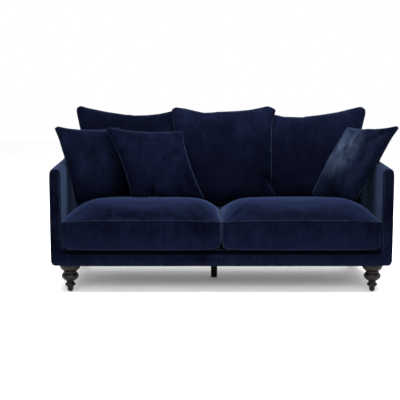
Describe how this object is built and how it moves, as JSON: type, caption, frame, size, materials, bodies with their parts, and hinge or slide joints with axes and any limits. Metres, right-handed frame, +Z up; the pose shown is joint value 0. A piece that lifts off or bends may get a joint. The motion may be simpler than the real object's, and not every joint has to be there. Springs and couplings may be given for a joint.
{
  "type": "sofa",
  "caption": "Upholstered sofa with loose seat cushions, leaning back pillows and scatter pillows, low arms that sweep up to a raked back, and turned wooden feet.",
  "frame": {"origin": "on the floor, under the middle of the whole sofa", "axes": "+X along the sofa's length, to the viewer's right from the front; +Y from the front to the back; +Z up"},
  "size_m": [1.8695, 0.8985, 1.0008],
  "materials": {
    "foot_wood": "dark stain, satin lacquer",
    "leg_black": "black paint, matt",
    "nylon": "plain",
    "steel": "zinc plated",
    "frame_wood": "sawn softwood, unfinished",
    "foam": "cut polyurethane foam",
    "fibre_insert": "white cotton case with fibre filling",
    "felt": "needled felt",
    "dust_cloth": "non-woven cloth",
    "webbing": "woven elastic webbing",
    "deck_velvet": "navy velvet",
    "velvet": "navy velvet, brushed nap"
  },
  "bodies": {
    "sofa_frame": {"back_center_post": "frame_wood", "back_foam": "foam", "back_lower_rail": "frame_wood", "back_top_rail": "frame_wood", "back_webbing": "webbing", "center_leg": "leg_black", "center_rail": "frame_wood", "corner_blocks": "frame_wood", "deck_cloth": "deck_velvet", "deck_felt": "felt", "dust_cover": "dust_cloth", "foot_bolts": "steel", "foot_glides": "nylon", "foot_plates": "steel", "frame_screws": "steel", "front_border_cover": "velvet", "front_border_foam": "foam", "front_foot_left": "foot_wood", "front_foot_right": "foot_wood", "front_rail": "frame_wood", "inside_back_cover": "velvet", "left_arm_cover": "velvet", "left_arm_foam": "foam", "left_arm_lower_rail": "frame_wood", "left_arm_outer_panel": "velvet", "left_arm_top_rail": "frame_wood", "left_back_post": "frame_wood", "left_front_post": "frame_wood", "left_side_rail": "frame_wood", "outside_back_panel": "velvet", "rear_foot_left": "foot_wood", "rear_foot_right": "foot_wood", "rear_rail": "frame_wood", "right_arm_cover": "velvet", "right_arm_foam": "foam", "right_arm_lower_rail": "frame_wood", "right_arm_outer_panel": "velvet", "right_arm_top_rail": "frame_wood", "right_back_post": "frame_wood", "right_front_post": "frame_wood", "right_side_rail": "frame_wood", "seat_springs_left": "steel", "seat_springs_right": "steel", "spring_clips": "steel"},
    "seat_cushion_left": {"seat_cushion_left_cover": "velvet", "seat_cushion_left_core": "foam"},
    "seat_cushion_right": {"seat_cushion_right_cover": "velvet", "seat_cushion_right_core": "foam"},
    "back_pillow_left": {"back_pillow_left_cover": "velvet", "back_pillow_left_insert": "fibre_insert"},
    "back_pillow_middle": {"back_pillow_middle_cover": "velvet", "back_pillow_middle_insert": "fibre_insert"},
    "back_pillow_right": {"back_pillow_right_cover": "velvet", "back_pillow_right_insert": "fibre_insert"},
    "scatter_pillow_left": {"scatter_pillow_left_cover": "velvet", "scatter_pillow_left_insert": "fibre_insert"},
    "scatter_pillow_front": {"scatter_pillow_front_cover": "velvet", "scatter_pillow_front_insert": "fibre_insert"},
    "scatter_pillow_right": {"scatter_pillow_right_cover": "velvet", "scatter_pillow_right_insert": "fibre_insert"}
  },
  "joints": [
    {"name": "seat_cushion_left_pull", "type": "slide", "parent": "sofa_frame", "child": "seat_cushion_left", "axis": [0, -1, 0], "range_m": [0, 0.7]},
    {"name": "seat_cushion_right_pull", "type": "slide", "parent": "sofa_frame", "child": "seat_cushion_right", "axis": [0, -1, 0], "range_m": [0, 0.7]},
    {"name": "back_pillow_left_lift", "type": "slide", "parent": "sofa_frame", "child": "back_pillow_left", "axis": [0, 0.1908, 0.9816], "range_m": [0, 0.6]},
    {"name": "back_pillow_middle_lift", "type": "slide", "parent": "sofa_frame", "child": "back_pillow_middle", "axis": [0, 0.1908, 0.9816], "range_m": [0, 0.6]},
    {"name": "back_pillow_right_lift", "type": "slide", "parent": "sofa_frame", "child": "back_pillow_right", "axis": [0, 0.1908, 0.9816], "range_m": [0, 0.6]},
    {"name": "scatter_pillow_left_lift", "type": "slide", "parent": "sofa_frame", "child": "scatter_pillow_left", "axis": [0, 0, 1], "range_m": [0, 0.5]},
    {"name": "scatter_pillow_front_lift", "type": "slide", "parent": "scatter_pillow_left", "child": "scatter_pillow_front", "axis": [0, 0, 1], "range_m": [0, 0.5]},
    {"name": "scatter_pillow_right_lift", "type": "slide", "parent": "sofa_frame", "child": "scatter_pillow_right", "axis": [0, 0, 1], "range_m": [0, 0.5]}
  ]
}
